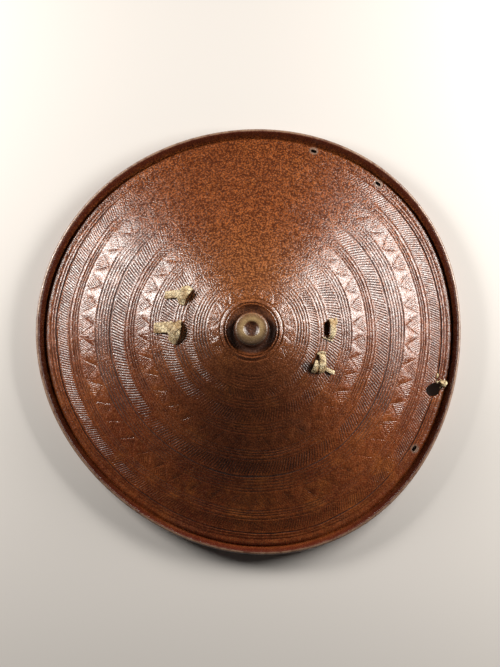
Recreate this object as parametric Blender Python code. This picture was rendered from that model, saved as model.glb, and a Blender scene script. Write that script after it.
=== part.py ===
"""Round hide shield with a moulded boss, lying on its rim with the boss up.

The body is one thick piece of moulded hide: a domed field with bands of carved
lines and triangles, a turned-up lip outside a valley, and a knob in a moat at
the crown. Four rawhide thongs run through slots in the hide and hold a leather
hand grip across the hollow back. A fifth, short thong is knotted at the rim.

Metres, +Z up. The origin is at the middle of the outline, on the surface that
the shield lies on. Angles run counter-clockwise from +X, seen from above.
"""
import math

import bmesh
import bpy
from mathutils import Matrix, Vector

# Hide: plan and thickness. From the rim inwards come the lip, the valley and the border ridge.
RIM_RADIUS = 0.290
LIP_WIDTH = 0.0118
RIDGE_FALL_WIDTH = 0.0042
RIDGE_CREST_WIDTH = 0.0015
VALLEY_RADIUS = RIM_RADIUS - LIP_WIDTH
BORDER_CREST_RADIUS = VALLEY_RADIUS - RIDGE_FALL_WIDTH
FIELD_RADIUS = BORDER_CREST_RADIUS - RIDGE_CREST_WIDTH
HIDE_THICKNESS = 0.0055

# Out-of-round outline, as a share of the radius: (lobes, amplitude, angle of a lobe in degrees)
WARP = ((3, 0.0189, 47.5), (2, 0.0050, -60.0), (4, 0.0026, 25.0))

# Domed field: height of its edge and its rise to the crown
FIELD_EDGE_HEIGHT = 0.0130
FIELD_RISE = 0.1295
FIELD_BELL = 0.25
FIELD_SWELL = 0.25

# Rim: border ridge, valley and turned-up lip
BORDER_CREST_RISE = 0.0003
VALLEY_FLOOR = 0.0066
LIP_HEIGHT = 0.0206
LIP_BOW = 1.35
LIP_STEPS = 3
LIP_CREST_STEPS = 3

# Flat ring on the underside that the shield lies on
REST_WIDTH = 0.0075
REST_SETBACK = 0.0052
REST_INNER_RADIUS = VALLEY_RADIUS - REST_SETBACK

# Boss: groove, double ridge, moat and knob, by radius and by height over the field's crown
BOSS_RADIUS = 0.0425
BOSS_GROOVE = 0.0009
GROOVE_BANK = 0.0003
RIDGE_HEIGHT = 0.0020
RIDGE_DIP = 0.0004
RIDGE_RADII = (0.0412, 0.0392, 0.0372, 0.0352, 0.0334)
MOAT_OUTER_RADIUS = 0.0316
MOAT_INNER_RADIUS = 0.0245
MOAT_DEPTH = 0.0048
KNOB_RADIUS = 0.0222
KNOB_HEIGHT = 0.0145
KNOB_SHOULDER = 0.0045
KNOB_STEPS = 3
DIMPLE_RADIUS = 0.0101
DIMPLE_DEPTH = 0.0042
DIMPLE_LIP = 0.0006
KNOB_WALL = 0.0075

# Carved bands from the border to the boss: kind, width, lines or triangles around, sides of the ring
BANDS = (
    ("lines", 0.0117, 1, 96),
    ("plain", 0.0153, 0, 96),
    ("lines", 0.0143, 1, 96),
    ("triangles", 0.0216, 48, 96),
    ("lines", 0.0229, 2, 96),
    ("plain", 0.0183, 0, 72),
    ("lines", 0.0144, 1, 72),
    ("triangles", 0.0186, 36, 72),
    ("lines", 0.0136, 1, 72),
    ("plain", 0.0192, 0, 72),
    ("lines", 0.0122, 1, 72),
    ("plain", 0.0129, 0, 72),
    ("lines", 0.0185, 1, 72),
    ("triangles", 0.0165, 18, 36),
)
LINE_DEPTH = 0.0009
TRIANGLE_DEPTH = 0.0011
TRIANGLE_BASE = 0.08

RIM_SIDES = 96
BOSS_SIDES = 36
BACK_SIDES = 48
BACK_RINGS = 5

# Clearances between pieces
HOLE_CLEARANCE = 0.0004
SURFACE_GAP = 0.0005
GRIP_SEAT_GAP = 0.0010
STOP_GAP = 0.0007

# Rawhide thongs: shank through the hide, and the stop knot behind it
SHANK_WIDTH = 0.0080
SHANK_THICKNESS = 0.0036
STOP_WIDTH = 0.0130
STOP_DEPTH = 0.0110
STOP_HEIGHT = 0.0050
THONG_BITE = 0.0010

# Rim holes, by their distance inside the field's edge and their angle, and the open slot beside one thong
RIM_HOLES = ((0.0027, 71.6), (0.0027, 50.7), (0.0042, -34.3))
RIM_HOLE_LENGTH = 0.0085
RIM_HOLE_WIDTH = 0.0044
OPEN_SLOT_LENGTH = 0.0190
OPEN_SLOT_WIDTH = 0.0080

# Torn hole beside the rim's thong: its distance inside the field's edge, its angle and its ragged outline,
# east and north of that place
TORN_HOLE = (0.0110, -16.0)
TORN_OUTLINE = (
    (0.0108, 0.0015), (0.0088, 0.0072), (0.0044, 0.0093), (0.0002, 0.0090),
    (-0.0048, 0.0068), (-0.0087, 0.0030), (-0.0106, -0.0018), (-0.0083, -0.0066),
    (-0.0040, -0.0088), (0.0026, -0.0081), (0.0069, -0.0057), (0.0086, -0.0016),
)

# Hand grip: pads under the thongs, and the bar between them
PAD_THICKNESS = 0.0040
PAD_MARGIN = 0.0100
PAD_REACH = 0.0150
PAD_NOSE = 0.0040
GRIP_NECK = 0.0340
BAR_WIDTH = 0.0290
BAR_THICKNESS = 0.0150
BAR_CROWN = 0.62
FINGER_ROOM = 0.0380

# Knotted ends over the hide. Each lump is (direction in degrees, start, end, sideways shift, width, height),
# measured from the place where the shank comes through. For the grip's thongs that is (x, y) from the boss's
# axis, and for the rim's thong its distance inside the field's edge and its angle. The knot at the rim is
# lifted, to pass over the border's crest.
THONGS = {
    "thong_upper_left": {
        "at": (-0.0899, 0.0465),
        "shank": 35.0,
        "lumps": (
            (58.0, -0.0125, 0.0135, 0.0010, 0.0130, 0.0085),
            (178.0, -0.0060, 0.0100, 0.0010, 0.0120, 0.0062),
            (176.0, 0.0040, 0.0270, -0.0010, 0.0110, 0.0026),
        ),
    },
    "thong_lower_left": {
        "at": (-0.0997, -0.0034),
        "shank": 90.0,
        "lumps": (
            (96.0, -0.0020, 0.0170, 0.0000, 0.0190, 0.0070),
            (62.0, -0.0175, 0.0080, 0.0025, 0.0150, 0.0088),
            (177.0, 0.0020, 0.0310, 0.0010, 0.0160, 0.0028),
        ),
    },
    "thong_upper_right": {
        "at": (0.1068, 0.0037),
        "shank": 90.0,
        "lumps": (
            (88.0, -0.0155, 0.0155, 0.0000, 0.0105, 0.0078),
            (65.0, 0.0060, 0.0180, -0.0020, 0.0085, 0.0050),
        ),
    },
    "thong_lower_right": {
        "at": (0.0904, -0.0418),
        "shank": 80.0,
        "lumps": (
            (82.0, -0.0125, 0.0135, -0.0030, 0.0105, 0.0085),
            (66.0, -0.0140, 0.0050, 0.0050, 0.0095, 0.0070),
            (-22.0, 0.0030, 0.0200, -0.0040, 0.0085, 0.0028),
        ),
    },
    "rim_thong": {
        "from_edge": (0.0092, -11.6),
        "shank": 78.0,
        "lift": 0.0020,
        "lumps": (
            (-52.0, -0.0060, 0.0140, 0.0000, 0.0085, 0.0062),
            (30.0, -0.0045, 0.0052, -0.0106, 0.0078, 0.0068),
        ),
    },
}
GRIP_THONGS = ("thong_upper_left", "thong_lower_left", "thong_upper_right", "thong_lower_right")
OPEN_SLOT_THONG = "thong_upper_right"
LUMP_STEPS = 5
LUMP_STAGGER = 0.0002


# The hide's surface

def warp(angle):
    """How far the outline swells at an angle, as a share of the radius."""
    return sum(size * math.cos(lobes * (angle - math.radians(at))) for lobes, size, at in WARP)


def stretched(radius, angle):
    """Real distance from the axis of a point at a nominal radius: the warp grows outwards."""
    return radius * (1.0 + warp(angle) * radius / RIM_RADIUS)


def axis_place():
    """Where the boss's axis stands, so that the origin is in the middle of the outline."""
    steps = [2.0 * math.pi * k / RIM_SIDES for k in range(RIM_SIDES)]
    xs = [stretched(RIM_RADIUS, a) * math.cos(a) for a in steps]
    ys = [stretched(RIM_RADIUS, a) * math.sin(a) for a in steps]
    return -(min(xs) + max(xs)) / 2.0, -(min(ys) + max(ys)) / 2.0


AXIS_X, AXIS_Y = axis_place()


def place(radius, angle, height):
    reach = stretched(radius, angle)
    return Vector((AXIS_X + reach * math.cos(angle), AXIS_Y + reach * math.sin(angle), height))


def nominal_radius(x, y):
    """The nominal radius of a point given by its place from the boss's axis."""
    angle = math.atan2(y, x)
    reach = math.hypot(x, y)
    radius = reach
    for _ in range(12):
        radius = reach / (1.0 + warp(angle) * radius / RIM_RADIUS)
    return radius


def field_height(radius):
    """Height of the outer surface, without its carving: a gentle crown and steeper flanks."""
    t = min(radius / FIELD_RADIUS, 1.0)
    bell = FIELD_BELL * (1.0 + math.cos(math.pi * t)) / 2.0
    cone = (1.0 - FIELD_BELL) * (1.0 - t)
    swell = FIELD_SWELL * t * (1.0 - t)
    return FIELD_EDGE_HEIGHT + FIELD_RISE * (bell + cone + swell)


def field_slope(radius):
    t = min(radius / FIELD_RADIUS, 1.0)
    bell = -FIELD_BELL * math.pi * math.sin(math.pi * t) / 2.0
    cone = FIELD_BELL - 1.0
    swell = FIELD_SWELL * (1.0 - 2.0 * t)
    return FIELD_RISE / FIELD_RADIUS * (bell + cone + swell)


def back_height(radius):
    """Height of the hollow side, one hide thickness in along the surface's normal."""
    return field_height(radius) - HIDE_THICKNESS * math.hypot(1.0, field_slope(radius))


def surface_frame(x, y):
    """East, north and outward axes on the field at a place from the boss's axis, as a matrix."""
    radius = nominal_radius(x, y)
    slope = field_slope(radius)
    outward = Vector((x, y, 0.0)).normalized()
    normal = Vector((-slope * outward.x, -slope * outward.y, 1.0)).normalized()
    east = (Vector((1.0, 0.0, 0.0)) - normal * normal.x).normalized()
    north = normal.cross(east)
    origin = Vector((AXIS_X + x, AXIS_Y + y, field_height(radius)))
    return Matrix((
        (east.x, north.x, normal.x, origin.x),
        (east.y, north.y, normal.y, origin.y),
        (east.z, north.z, normal.z, origin.z),
        (0.0, 0.0, 0.0, 1.0),
    ))


def thong_spot(thong):
    """Where a thong's shank comes through, as (x, y) from the boss's axis."""
    if "at" in thong:
        return thong["at"]
    inset, degrees = thong["from_edge"]
    angle = math.radians(degrees)
    reach = stretched(FIELD_RADIUS - inset, angle)
    return reach * math.cos(angle), reach * math.sin(angle)


# Small helpers for the scene

def clear_scene():
    for old in list(bpy.data.objects):
        bpy.data.objects.remove(old, do_unlink=True)


def material(name, color, roughness):
    mat = bpy.data.materials.new(name)
    mat.use_nodes = True
    shader = mat.node_tree.nodes["Principled BSDF"]
    shader.inputs["Base Color"].default_value = (*color, 1.0)
    shader.inputs["Roughness"].default_value = roughness
    shader.inputs["Metallic"].default_value = 0.0
    return mat


def finish_mesh(bm, name, mat=None, smooth=False):
    bmesh.ops.recalc_face_normals(bm, faces=bm.faces)
    mesh = bpy.data.meshes.new(name)
    bm.to_mesh(mesh)
    bm.free()
    obj = bpy.data.objects.new(name, mesh)
    bpy.context.scene.collection.objects.link(obj)
    if mat:
        mesh.materials.append(mat)
    if smooth:
        mesh.shade_smooth()
        mesh.set_sharp_from_angle(angle=math.radians(40.0))
    return obj


def as_guide(obj):
    obj.hide_render = True
    obj.display_type = "WIRE"
    return obj


def boolean(obj, other, operation):
    mod = obj.modifiers.new(operation.lower(), "BOOLEAN")
    mod.operation = operation
    mod.solver = "EXACT"
    mod.object = as_guide(other)


# The body of hide

def add_ring(bm, radius, height, sides):
    """A ring of points. height is one value, or a function of the point's number."""
    points = []
    for k in range(sides):
        level = height(k) if callable(height) else height
        points.append(bm.verts.new(place(radius, 2.0 * math.pi * k / sides, level)))
    return points


def bridge(bm, first, second, zigzag=False):
    """Triangles between two rings, also of unequal counts. Zigzag turns every other diagonal."""
    many, few = len(first), len(second)
    i = j = 0
    while i < many or j < few:
        a, b = first[i % many], second[j % few]
        if zigzag:
            step_first = (i + j) % 4 in (0, 3)
        else:
            step_first = (i + 1) * few <= (j + 1) * many
        if (step_first and i < many) or j >= few:
            bm.faces.new((a, first[(i + 1) % many], b))
            i += 1
        else:
            bm.faces.new((a, second[(j + 1) % few], b))
            j += 1


def band_rings():
    """Radius, height, sides and zigzag flag of each ring of the carved field, outside to inside."""
    fill = (FIELD_RADIUS - BOSS_RADIUS) / sum(width for _, width, _, _ in BANDS)
    radius = FIELD_RADIUS
    yield radius, field_height(radius), BANDS[0][3], False
    for kind, width, count, sides in BANDS:
        inner = radius - width * fill
        if kind == "lines":
            pitch = (radius - inner) / count
            for n in range(count):
                groove = radius - pitch * (n + 0.5)
                yield groove, field_height(groove) - LINE_DEPTH, sides, False
                crest = radius - pitch * (n + 1.0)
                yield crest, field_height(crest), sides, False
        elif kind == "triangles":
            base = radius - (radius - inner) * TRIANGLE_BASE
            level = field_height(base)
            yield base, lambda k, level=level: level - TRIANGLE_DEPTH * (1 - k % 2), sides, False
            yield inner, field_height(inner), sides, True
        else:
            yield inner, field_height(inner), sides, False
        radius = inner


def lip_rings():
    """Rings from the flat underside round the turned-up lip to the border's crest."""
    rest_outer = REST_INNER_RADIUS + REST_WIDTH
    rings = [(REST_INNER_RADIUS, 0.0), (rest_outer, 0.0)]
    half = HIDE_THICKNESS / 2.0
    run = RIM_RADIUS - half - VALLEY_RADIUS
    base = VALLEY_FLOOR - half
    rise = LIP_HEIGHT - half - base
    outer, inner = [], []
    for n in range(1, LIP_STEPS):
        s = n / (LIP_STEPS - 1)
        slope = math.atan2(rise * LIP_BOW * s ** (LIP_BOW - 1.0), run)
        radius = VALLEY_RADIUS + run * s
        level = base + rise * s ** LIP_BOW
        outer.append((radius + half * math.sin(slope), level - half * math.cos(slope)))
        inner.append((radius - half * math.sin(slope), level + half * math.cos(slope)))
    crest = []
    for n in range(1, LIP_CREST_STEPS):
        turn = slope - math.pi / 2.0 + math.pi * n / LIP_CREST_STEPS
        crest.append((radius + half * math.cos(turn), level + half * math.sin(turn)))
    rings += outer + crest + inner[::-1]
    rings.append((VALLEY_RADIUS, VALLEY_FLOOR))
    rings.append((BORDER_CREST_RADIUS, FIELD_EDGE_HEIGHT + BORDER_CREST_RISE))
    return rings


def boss_rings():
    """Rings of the boss: groove, double ridge, moat, knob and dimple."""
    base = field_height(BOSS_RADIUS)
    levels = (-BOSS_GROOVE, GROOVE_BANK, RIDGE_HEIGHT, RIDGE_DIP, RIDGE_HEIGHT)
    rings = [(radius, base + level) for radius, level in zip(RIDGE_RADII, levels)]
    rings.append((MOAT_OUTER_RADIUS, base - MOAT_DEPTH * 0.7))
    rings.append((MOAT_INNER_RADIUS, base - MOAT_DEPTH))
    top = base + KNOB_HEIGHT
    for n in range(KNOB_STEPS + 1):
        turn = math.pi / 2.0 * n / KNOB_STEPS
        radius = KNOB_RADIUS - KNOB_SHOULDER * (1.0 - math.cos(turn))
        rings.append((radius, top - KNOB_SHOULDER * (1.0 - math.sin(turn))))
    rings.append((DIMPLE_RADIUS, top - DIMPLE_LIP))
    rings.append((DIMPLE_RADIUS * 0.72, top - DIMPLE_DEPTH * 0.8))
    return rings, top - DIMPLE_DEPTH


def back_rings(dimple_floor):
    """Rings of the hollow side, from inside the flat ring to the hollow under the knob, and its top."""
    first = REST_INNER_RADIUS - back_height(REST_INNER_RADIUS - HIDE_THICKNESS) * 0.7
    last = BOSS_RADIUS
    rings = []
    for n in range(BACK_RINGS + 1):
        radius = first + (last - first) * n / BACK_RINGS
        rings.append((radius, back_height(radius)))
    under_moat = field_height(BOSS_RADIUS) - MOAT_DEPTH - HIDE_THICKNESS
    hollow = KNOB_RADIUS - KNOB_WALL
    rings.append((MOAT_OUTER_RADIUS + HIDE_THICKNESS / 2.0, under_moat))
    rings.append(((MOAT_INNER_RADIUS + hollow) / 2.0, under_moat))
    top = dimple_floor - HIDE_THICKNESS
    rings.append((hollow, under_moat + (top - under_moat) * 0.7))
    return rings, top


def close_centre(bm, ring, height):
    tip = bm.verts.new(Vector((AXIS_X, AXIS_Y, height)))
    for k in range(len(ring)):
        bm.faces.new((ring[k], ring[(k + 1) % len(ring)], tip))


def make_hide(mat):
    bm = bmesh.new()
    rings = [add_ring(bm, radius, level, RIM_SIDES) for radius, level in lip_rings()]
    under = rings[0]
    for first, second in zip(rings, rings[1:]):
        bridge(bm, first, second)
    ring = rings[-1]
    for radius, level, sides, zigzag in band_rings():
        inner = add_ring(bm, radius, level, sides)
        bridge(bm, ring, inner, zigzag)
        ring = inner
    levels, dimple_floor = boss_rings()
    for radius, level in levels:
        inner = add_ring(bm, radius, level, BOSS_SIDES)
        bridge(bm, ring, inner)
        ring = inner
    close_centre(bm, ring, dimple_floor)
    levels, hollow_top = back_rings(dimple_floor)
    ring = under
    for radius, level in levels:
        inner = add_ring(bm, radius, level, BACK_SIDES)
        bridge(bm, ring, inner)
        ring = inner
    close_centre(bm, ring, hollow_top)
    return finish_mesh(bm, "hide_body", mat, smooth=True)


# Slots and holes

def prism(outline, low, high, frame, name, mat=None):
    """A flat outline of (x, y) points, drawn out from low to high along the frame's third axis."""
    bm = bmesh.new()
    bottom = [bm.verts.new(frame @ Vector((x, y, low))) for x, y in outline]
    top = [bm.verts.new(frame @ Vector((x, y, high))) for x, y in outline]
    bm.faces.new(bottom[::-1])
    bm.faces.new(top)
    count = len(outline)
    for k in range(count):
        after = (k + 1) % count
        bm.faces.new((bottom[k], bottom[after], top[after], top[k]))
    return finish_mesh(bm, name, mat)


def stadium(length, width, ends=3):
    """A slot's outline along x, with round ends."""
    radius = width / 2.0
    reach = length / 2.0 - radius
    points = []
    for side in (1.0, -1.0):
        for n in range(ends + 1):
            turn = -math.pi / 2.0 + math.pi * n / ends
            points.append((side * (reach + radius * math.cos(turn)), side * radius * math.sin(turn)))
    return points


def turned(frame, degrees, east=0.0, north=0.0):
    return frame @ Matrix.Translation((east, north, 0.0)) @ Matrix.Rotation(math.radians(degrees), 4, "Z")


def shank_outline(clearance):
    length = SHANK_WIDTH + 2.0 * clearance
    width = SHANK_THICKNESS + 2.0 * clearance
    return stadium(length, width)


def shank_cutter(name, thong):
    frame = turned(surface_frame(*thong_spot(thong)), thong["shank"])
    depth = HIDE_THICKNESS + GRIP_SEAT_GAP + PAD_THICKNESS + STOP_HEIGHT
    return prism(shank_outline(HOLE_CLEARANCE), -depth, STOP_HEIGHT, frame, name)


def cut_hide(hide, cutters):
    for cutter in cutters.values():
        boolean(hide, cutter, "DIFFERENCE")
    thong = THONGS[OPEN_SLOT_THONG]
    shift = -(SHANK_THICKNESS + OPEN_SLOT_WIDTH) / 2.0
    frame = turned(surface_frame(*thong_spot(thong)), 90.0, east=shift)
    slot = stadium(OPEN_SLOT_LENGTH, OPEN_SLOT_WIDTH)
    boolean(hide, prism(slot, -2.0 * HIDE_THICKNESS, HIDE_THICKNESS, frame, "open_slot_cutter"), "DIFFERENCE")
    for n, (inset, degrees) in enumerate(RIM_HOLES):
        angle = math.radians(degrees)
        middle = Matrix.Translation(place(FIELD_RADIUS - inset, angle, 0.0))
        frame = middle @ Matrix.Rotation(angle + math.pi / 2.0, 4, "Z")
        hole = stadium(RIM_HOLE_LENGTH, RIM_HOLE_WIDTH)
        top = FIELD_EDGE_HEIGHT + HIDE_THICKNESS
        boolean(hide, prism(hole, -HIDE_THICKNESS, top, frame, f"rim_hole_cutter_{n + 1}"), "DIFFERENCE")
    inset, degrees = TORN_HOLE
    frame = Matrix.Translation(place(FIELD_RADIUS - inset, math.radians(degrees), 0.0))
    top = FIELD_EDGE_HEIGHT + 4.0 * HIDE_THICKNESS
    boolean(hide, prism(TORN_OUTLINE, -HIDE_THICKNESS, top, frame, "torn_hole_cutter"), "DIFFERENCE")


# Thongs

def lump(frame, spec, low, name):
    """A rounded fold of rawhide with a flat underside at height low, along one direction over the hide."""
    degrees, start, end, shift, width, height = spec
    along = frame @ Matrix.Rotation(math.radians(degrees), 4, "Z") @ Matrix.Translation((0.0, shift, 0.0))
    middle, reach = (start + end) / 2.0, (end - start) / 2.0
    bm = bmesh.new()
    sides = []
    for side in (-1.0, 1.0):
        points = []
        for n in range(LUMP_STEPS + 1):
            turn = math.pi * n / LUMP_STEPS
            x = middle - reach * math.cos(turn)
            z = low + height * max(math.sin(turn) ** 0.6, 0.18)
            inset = 0.16 * width * (1.0 - math.sin(turn))
            points.append(bm.verts.new(along @ Vector((x, side * (width / 2.0 - inset), z))))
        for x in (middle + reach, middle - reach):
            points.append(bm.verts.new(along @ Vector((x, side * width * 0.5, low))))
        sides.append(points)
    count = len(sides[0])
    for k in range(count):
        after = (k + 1) % count
        bm.faces.new((sides[0][k], sides[0][after], sides[1][after], sides[1][k]))
    bm.faces.new(sides[0])
    bm.faces.new(sides[1])
    bmesh.ops.triangulate(bm, faces=bm.faces)
    return finish_mesh(bm, name)


def make_thong(name, thong, mat, backing):
    """Shank, with the stop knot behind the hide and the lumps of the knot before it, joined."""
    frame = surface_frame(*thong_spot(thong))
    behind = HIDE_THICKNESS + backing + STOP_GAP
    base = SURFACE_GAP + thong.get("lift", 0.0)
    turned_frame = turned(frame, thong["shank"])
    body = prism(shank_outline(0.0), -behind - THONG_BITE, base + THONG_BITE, turned_frame, name, mat)
    stop = stadium(STOP_WIDTH, STOP_DEPTH, 4)
    boolean(body, prism(stop, -behind - STOP_HEIGHT, -behind, turned_frame, name + "_stop"), "UNION")
    for n, spec in enumerate(thong["lumps"]):
        low = base + LUMP_STAGGER * n
        boolean(body, lump(frame, spec, low, f"{name}_lump_{n + 1}"), "UNION")
    return body


# Hand grip

def grip_sections():
    """Place along the grip, half width and blend from pad (0) to bar (1) of each cross-section."""
    left = [Vector(thong_spot(THONGS[name])) for name in GRIP_THONGS[:2]]
    right = [Vector(thong_spot(THONGS[name])) for name in GRIP_THONGS[2:]]
    start = (left[0] + left[1]) / 2.0
    end = (right[0] + right[1]) / 2.0
    along = (end - start).normalized()
    across = Vector((-along.y, along.x))
    reach = (end - start).length / 2.0
    spread = max(abs((a - b).dot(across)) for a, b in (left, right)) / 2.0
    pad_half = spread + PAD_MARGIN
    pad_out = reach + PAD_REACH
    pad_in = reach - PAD_REACH
    bar_end = pad_in - GRIP_NECK
    stations = [(pad_out, 0.78 * pad_half, 0.0), (pad_out - PAD_NOSE, pad_half, 0.0), (reach, pad_half, 0.0)]
    stations.append((pad_in, 0.9 * pad_half, 0.0))
    for share in (0.33, 0.66, 1.0):
        blend = share * share * (3.0 - 2.0 * share)
        half = 0.9 * pad_half + (BAR_WIDTH / 2.0 - 0.9 * pad_half) * blend
        stations.append((pad_in + (bar_end - pad_in) * share, half, blend))
    stations.append((bar_end * 0.4, BAR_WIDTH / 2.0, 1.0))
    mirrored = [(-place_on, half, blend) for place_on, half, blend in stations]
    return (start + end) / 2.0, along, across, mirrored + stations[::-1]


def make_grip(mat, cutters):
    centre, along, across, stations = grip_sections()
    bar_top = back_height(BOSS_RADIUS) - FINGER_ROOM
    shares = (-1.0, -0.55, 0.0, 0.55, 1.0)
    bm = bmesh.new()
    sections = []
    for reach, half, blend in stations:
        top, bottom = [], []
        for share in shares:
            spot = centre + along * reach + across * (half * share)
            radius = nominal_radius(spot.x, spot.y)
            seat = back_height(radius) - GRIP_SEAT_GAP
            pad_low = seat - PAD_THICKNESS * math.hypot(1.0, field_slope(radius))
            crown = BAR_THICKNESS * 0.5 * BAR_CROWN * share * share
            high = seat + (bar_top - crown - seat) * blend
            low = pad_low + (bar_top - BAR_THICKNESS + crown - pad_low) * blend
            top.append(bm.verts.new((AXIS_X + spot.x, AXIS_Y + spot.y, high)))
            bottom.append(bm.verts.new((AXIS_X + spot.x, AXIS_Y + spot.y, low)))
        sections.append(top + bottom[::-1])
    count = len(sections[0])
    for first, second in zip(sections, sections[1:]):
        for k in range(count):
            after = (k + 1) % count
            bm.faces.new((first[k], first[after], second[after], second[k]))
    bm.faces.new(sections[0])
    bm.faces.new(sections[-1])
    bmesh.ops.triangulate(bm, faces=bm.faces)
    grip = finish_mesh(bm, "hand_grip", mat, smooth=True)
    for name in GRIP_THONGS:
        boolean(grip, cutters[name], "DIFFERENCE")
    return grip


def main():
    clear_scene()
    hide_mat = material("hide", (0.22, 0.075, 0.035), 0.42)
    grip_mat = material("grip_leather", (0.14, 0.065, 0.035), 0.55)
    thong_mat = material("rawhide", (0.62, 0.52, 0.34), 0.6)
    cutters = {name: shank_cutter(name + "_slot", thong) for name, thong in THONGS.items()}
    hide = make_hide(hide_mat)
    cut_hide(hide, cutters)
    make_grip(grip_mat, cutters)
    for name, thong in THONGS.items():
        backing = GRIP_SEAT_GAP + PAD_THICKNESS if name in GRIP_THONGS else 0.0
        make_thong(name, thong, thong_mat, backing)


main()
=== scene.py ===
"""Finer relief, looks, light and camera for a round hide shield that lies on its rim, boss up.

Metres, +Z up. Angles run counter-clockwise from +X, seen from above. The sizes at the top are
the solid's own, so that the finer pieces keep its form.
"""
import math
import random

import bmesh
import bpy
from mathutils import Matrix, Vector, geometry, noise


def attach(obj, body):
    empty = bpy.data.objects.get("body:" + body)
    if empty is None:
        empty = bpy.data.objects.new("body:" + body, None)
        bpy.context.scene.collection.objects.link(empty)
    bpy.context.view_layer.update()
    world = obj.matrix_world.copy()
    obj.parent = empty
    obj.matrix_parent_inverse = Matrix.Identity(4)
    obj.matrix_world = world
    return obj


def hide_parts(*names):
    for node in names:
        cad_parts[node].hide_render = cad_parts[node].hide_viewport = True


TAU = 2.0 * math.pi

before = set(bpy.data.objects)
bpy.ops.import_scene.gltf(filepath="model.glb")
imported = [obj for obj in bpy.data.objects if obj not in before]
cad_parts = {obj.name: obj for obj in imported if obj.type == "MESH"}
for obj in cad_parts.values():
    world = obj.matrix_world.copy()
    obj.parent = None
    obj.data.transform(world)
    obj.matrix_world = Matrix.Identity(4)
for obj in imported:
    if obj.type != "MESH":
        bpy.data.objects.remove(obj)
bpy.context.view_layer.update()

# The solid's own sizes
RIM_RADIUS = 0.290
LIP_WIDTH = 0.0118
RIDGE_FALL_WIDTH = 0.0042
RIDGE_CREST_WIDTH = 0.0015
VALLEY_RADIUS = RIM_RADIUS - LIP_WIDTH
BORDER_CREST_RADIUS = VALLEY_RADIUS - RIDGE_FALL_WIDTH
FIELD_RADIUS = BORDER_CREST_RADIUS - RIDGE_CREST_WIDTH
HIDE_THICKNESS = 0.0055

# How the outline leaves a circle, each as (lobes, size, direction in degrees)
WARP = ((3, 0.0189, 47.5), (2, 0.0050, -60.0), (4, 0.0026, 25.0))

FIELD_EDGE_HEIGHT = 0.0130
FIELD_RISE = 0.1295
FIELD_BELL = 0.25
FIELD_SWELL = 0.25
BORDER_CREST_RISE = 0.0003
VALLEY_FLOOR = 0.0066
LIP_HEIGHT = 0.0206
LIP_BOW = 1.35
REST_WIDTH = 0.0075
REST_INNER_RADIUS = VALLEY_RADIUS - 0.0052
BOSS_RADIUS = 0.0425
BOSS_GROOVE = 0.0009
GROOVE_BANK = 0.0003
RIDGE_HEIGHT = 0.0020
RIDGE_DIP = 0.0004
RIDGE_RADII = (0.0412, 0.0392, 0.0372, 0.0352, 0.0334)
MOAT_OUTER_RADIUS = 0.0316
MOAT_INNER_RADIUS = 0.0245
MOAT_DEPTH = 0.0048
KNOB_RADIUS = 0.0222
KNOB_HEIGHT = 0.0145
KNOB_SHOULDER = 0.0045
DIMPLE_RADIUS = 0.0101
DIMPLE_DEPTH = 0.0042
KNOB_WALL = 0.0075
BAND_WIDTHS = (
    0.0117, 0.0153, 0.0143, 0.0216, 0.0229, 0.0183, 0.0144,
    0.0186, 0.0136, 0.0192, 0.0122, 0.0129, 0.0185, 0.0165,
)

# Holes near the rim, each as (inset from the field's edge, direction in degrees)
RIM_HOLES = ((0.0027, 71.6), (0.0027, 50.7), (0.0042, -34.3))
TORN_HOLE = (0.0110, -16.0)
TORN_OUTLINE = (
    (0.0108, 0.0015), (0.0088, 0.0072), (0.0044, 0.0093), (0.0002, 0.0090),
    (-0.0048, 0.0068), (-0.0087, 0.0030), (-0.0106, -0.0018), (-0.0083, -0.0066),
    (-0.0040, -0.0088), (0.0026, -0.0081), (0.0069, -0.0057), (0.0086, -0.0016),
)
RIM_HOLE_LENGTH = 0.0085
RIM_HOLE_WIDTH = 0.0044
OPEN_SLOT_LENGTH = 0.0190
OPEN_SLOT_WIDTH = 0.0080
SHANK_WIDTH = 0.0080
SHANK_THICKNESS = 0.0036
HOLE_CLEARANCE = 0.0004
PAD_THICKNESS = 0.0040
GRIP_SEAT_GAP = 0.0010
STOP_GAP = 0.0007
SOLID_RIM_SIDES = 96

# Where each thong comes through, as (x, y) from the boss's axis and its turn in degrees
THONG_SPOTS = {
    "thong_upper_left": (-0.0899, 0.0465, 35.0),
    "thong_lower_left": (-0.0997, -0.0034, 90.0),
    "thong_upper_right": (0.1068, 0.0037, 90.0),
    "thong_lower_right": (0.0904, -0.0418, 80.0),
    "rim_thong": (0.2529, -0.0519, 78.0),
}

# What the finer surface adds
WORN_TOP = 92.0
TOP_WEAR = 0.80
LOW_WEAR = 0.36
SPOT_WEAR = 0.28
LIP_TRIM = 0.0007
LIP_ROUGHNESS = 0.0002
CREST_ROUGHNESS = 0.00035
BOSS_ROUGHNESS = 0.00022
BACK_ROUGHNESS = 0.0004
NOTCH_DEPTH = 0.0009
NOTCH_PITCH = 0.0031
GROOVE_WIDTH = 0.0022
GROOVE_DEPTH = 0.0008
HATCH_DEPTH = 0.0009
OUTLINE_DEPTH = 0.0007
BAND_MARGIN = 0.0006
BOSS_MARGIN = 0.0004
HATCH_LEVELS = (0.0, 0.1, 0.37, 0.63, 0.9, 1.0)
END_DEPTH = 0.35
SLOT_TEAR = 0.0020
SLOT_END_STEPS = 6
UNDER_SIDES = 240
RIM_SIDES = 480
BOSS_SIDES = 144
STRIP_SIDES = 14
STRIP_STEPS = 6
STOP_KNOT_SIDES = 20
STOP_KNOT = ((0.0040, 0.0), (0.0062, -0.0006), (0.0066, -0.0024), (0.0058, -0.0042), (0.0030, -0.0049))
SHARP_EDGE = math.radians(50.0)

# A point counts as cut from this many millimetres down
CUT_START = 0.02

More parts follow.
